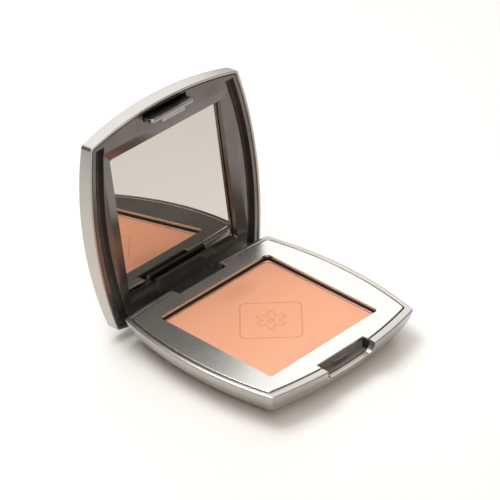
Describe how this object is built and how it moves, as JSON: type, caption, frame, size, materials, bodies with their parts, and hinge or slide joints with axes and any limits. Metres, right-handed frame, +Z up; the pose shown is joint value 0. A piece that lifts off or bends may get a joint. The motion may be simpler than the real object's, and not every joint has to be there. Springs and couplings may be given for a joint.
{
  "type": "powder compact",
  "caption": "Square face-powder compact with bowed sides, a hinged mirror lid with a snap hook, and a sprung latch catch in the base.",
  "frame": {"origin": "centre of the flat underside that the compact stands on", "axes": "+Z up, +X to the right, +Y to the rear where the hinge is, -Y to the front where the latch is; stored with the lid open"},
  "size_m": [0.0786, 0.0926, 0.08],
  "materials": {
    "silver_shell": "satin metallised plastic",
    "silver_deck": "smooth satin metallised plastic",
    "black_moulding": "matt black moulded plastic",
    "smoke_moulding": "semi-gloss gunmetal moulded plastic",
    "pan_metal": "plain pressed aluminium",
    "pressed_powder": "matt pressed powder, peach",
    "adhesive": "cream adhesive",
    "label_film": "blank satin film",
    "spring_steel": "bright drawn steel",
    "mirror_glass": "silvered glass with a bevelled edge",
    "hook_chrome": "chromed plastic"
  },
  "bodies": {
    "base": {"base_shell": "silver_shell", "deck_plate": "silver_deck", "inner_tray": "black_moulding", "powder_pan": "pan_metal", "powder_cake": "pressed_powder", "pan_glue": "adhesive", "base_label": "label_film", "catch_spring_left": "spring_steel", "catch_spring_right": "spring_steel", "hinge_pin": "spring_steel"},
    "lid": {"lid_shell": "silver_shell", "mirror_frame": "smoke_moulding", "mirror_glass": "mirror_glass", "mirror_tape": "adhesive", "lid_hook": "hook_chrome"},
    "catch": {"latch_catch": "smoke_moulding"}
  },
  "joints": [
    {"name": "lid_hinge", "type": "hinge", "parent": "base", "child": "lid", "pos_m": [0, 0.0337, 0.0073], "axis": [-1, 0, 0], "range_deg": [-96.3, 0]},
    {"name": "catch_slide", "type": "slide", "parent": "base", "child": "catch", "axis": [0, 1, 0], "range_m": [0, 0.001], "stiffness_N_per_m": 400, "deforming": ["catch_spring_left", "catch_spring_right"]}
  ]
}
